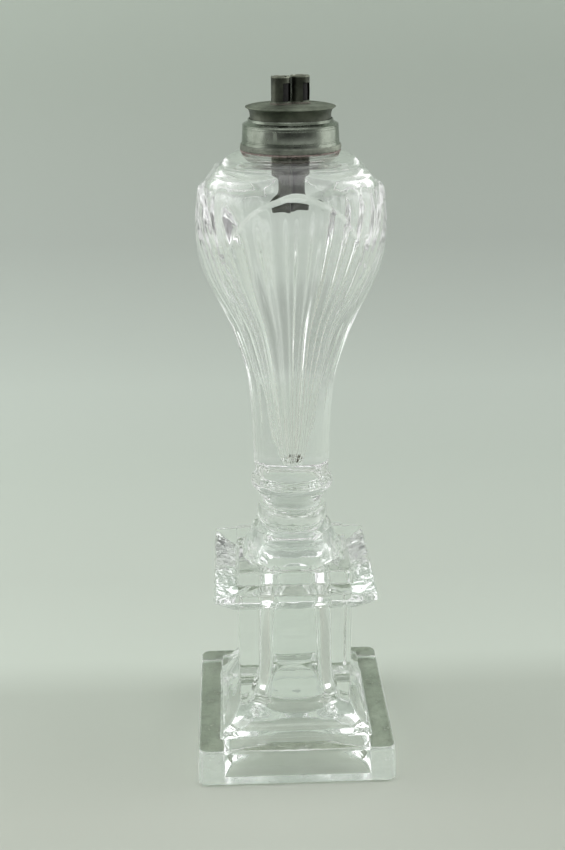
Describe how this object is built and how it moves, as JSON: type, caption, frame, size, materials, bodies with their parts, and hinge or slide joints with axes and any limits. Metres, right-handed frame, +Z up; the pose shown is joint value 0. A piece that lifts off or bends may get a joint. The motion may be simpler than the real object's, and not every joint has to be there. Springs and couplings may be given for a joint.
{
  "type": "glass table lamp with two-tube screw burner",
  "caption": "Clear pressed glass stand lamp: square stepped hollow base, slender font with tall round-headed loops, screw collar, and a burner that unscrews and lifts out with its wick tubes",
  "frame": {"origin": "centre of the underside of the square foot", "axes": "+Z up along the lamp's axis, -Y to the front, +X to the right seen from the front, X and Y square to the foot's sides"},
  "size_m": [0.085, 0.085, 0.288],
  "materials": {
    "base_glass": "clear colourless pressed glass, fire polished, slightly wavy",
    "font_glass": "clear colourless pressed glass with rounded loop edges",
    "plaster": "pinkish grey plaster, matt",
    "turned_pewter": "dark dull pewter with fine turned lines",
    "washer_leather": "dark oiled leather",
    "cast_pewter": "dark dull cast pewter",
    "rough_pewter": "rough grey green pewter with pitting",
    "tube_metal": "dark grey metal tube with light worn rim",
    "solder": "grey solder",
    "wick_cotton": "charred woven cotton"
  },
  "bodies": {
    "root": {"glass_base": "base_glass", "glass_wafer": "base_glass", "glass_font": "font_glass", "collar_plaster": "plaster", "collar": "turned_pewter"},
    "washer": {"burner_washer": "washer_leather"},
    "burner": {"burner_plug": "cast_pewter", "burner_plate": "rough_pewter", "wick_tube_left": "tube_metal", "wick_tube_right": "tube_metal", "tube_solder": "solder"},
    "wick_left": {"wick_left": "wick_cotton"},
    "wick_right": {"wick_right": "wick_cotton"}
  },
  "joints": [
    {"name": "burner_lift", "type": "slide", "parent": "root", "child": "washer", "axis": [0, 0, 1], "range_m": [0, 0.08]},
    {"name": "burner_turn", "type": "hinge", "parent": "washer", "child": "burner", "pos_m": [0, 0, 0.27], "axis": [0, 0, 1], "range_deg": [0, 1080]},
    {"name": "wick_feed_left", "type": "slide", "parent": "burner", "child": "wick_left", "axis": [0, 0, 1], "range_m": [0, 0.01]},
    {"name": "wick_feed_right", "type": "slide", "parent": "burner", "child": "wick_right", "axis": [0, 0, 1], "range_m": [0, 0.01]}
  ]
}
